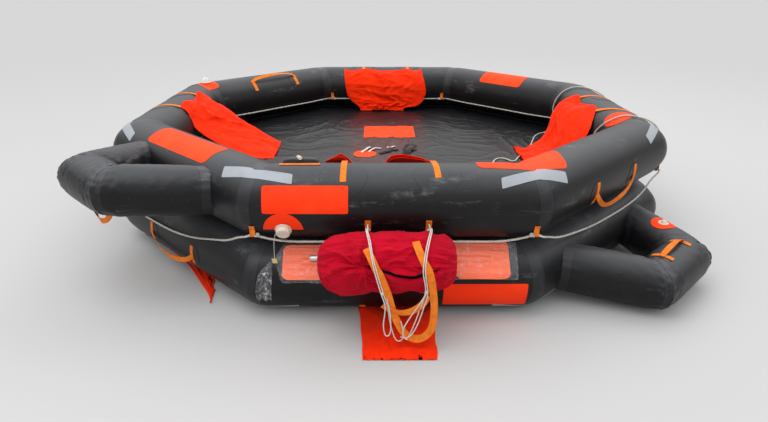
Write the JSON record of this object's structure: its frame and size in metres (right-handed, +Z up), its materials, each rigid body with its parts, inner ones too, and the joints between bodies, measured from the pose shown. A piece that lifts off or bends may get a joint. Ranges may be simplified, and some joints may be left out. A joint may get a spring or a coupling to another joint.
{
  "type": "inflatable life raft",
  "caption": "Open reversible eight-sided inflatable life raft: two stacked buoyancy tubes, floor, boarding ramps, water pockets, lifelines, equipment bag and paddles.",
  "frame": {"origin": "centre of the raft's plan box, on the ground it stands on", "axes": "+Z up; -Y towards the side with the equipment bag; the upper boarding ramp is at -X -Y"},
  "size_m": [2.9598, 3.3555, 0.6864],
  "materials": {
    "black_rubber": "satin black rubber-coated fabric, lightly scuffed",
    "floor_cloth": "glossy black coated sheet, wrinkled",
    "pocket_cloth": "fluorescent orange-red woven nylon",
    "bag_cloth": "crimson woven nylon",
    "orange_rubber": "matt fluorescent orange rubber patch",
    "orange_webbing": "flat woven orange webbing",
    "lifeline_rope": "off-white braided cord",
    "paddle_plastic": "moulded orange plastic",
    "bare_metal": "bare drawn metal",
    "white_plastic": "moulded white plastic",
    "clear_plastic": "clear moulded plastic",
    "cylinder_paint": "dark green painted steel"
  },
  "bodies": {
    "root": {"upper_buoyancy_tube": "black_rubber", "lower_buoyancy_tube": "black_rubber", "raft_floor": "floor_cloth", "upper_seam_band": "black_rubber", "lower_seam_band": "black_rubber", "upper_boarding_ramp": "black_rubber", "lower_boarding_ramp": "black_rubber", "upper_ramp_valve": "bare_metal", "lower_ramp_valve": "bare_metal", "upper_boarding_sign": "orange_rubber", "lower_boarding_sign": "orange_rubber", "patch_left_front": "orange_rubber", "patch_right_back": "orange_rubber", "floor_centre_patch": "orange_rubber", "floor_disc": "orange_rubber", "crossing_line": "lifeline_rope", "line_tail": "lifeline_rope", "lower_ramp_handle": "orange_webbing", "upper_ramp_handle": "orange_webbing", "upper_gas_inlet": "bare_metal", "lower_gas_inlet": "bare_metal", "knife_pouch": "black_rubber", "paddle_sleeve_tail": "clear_plastic", "upper_pocket_front": "pocket_cloth", "upper_pocket_back": "pocket_cloth", "upper_pocket_left": "pocket_cloth", "upper_pocket_right": "pocket_cloth", "lower_pocket_front": "pocket_cloth", "lower_pocket_back": "pocket_cloth", "lower_pocket_left": "pocket_cloth", "lower_pocket_right": "pocket_cloth", "outer_lifeline": "lifeline_rope", "upper_inner_lifeline": "lifeline_rope", "lower_inner_lifeline": "lifeline_rope", "outer_handle_right_front": "orange_webbing", "outer_handle_left_front": "orange_webbing", "inner_handle_left_back": "orange_webbing", "inner_handle_right_back": "orange_webbing", "emergency_bag": "bag_cloth", "bag_webbing": "orange_webbing", "lashing_tab_left": "orange_webbing", "lashing_tab_right": "orange_webbing", "lashing_cord_left": "lifeline_rope", "lashing_cord_right": "lifeline_rope", "left_paddle_blade": "paddle_plastic", "left_paddle_shaft": "bare_metal", "right_paddle_blade": "paddle_plastic", "right_paddle_shaft": "bare_metal", "upper_tube_valve": "white_plastic", "lower_tube_valve": "white_plastic", "upper_sea_light": "clear_plastic", "lower_sea_light": "clear_plastic", "gas_cylinder": "cylinder_paint", "cylinder_head": "bare_metal", "cylinder_strap_left": "orange_webbing", "cylinder_strap_right": "orange_webbing"}
  },
  "joints": []
}
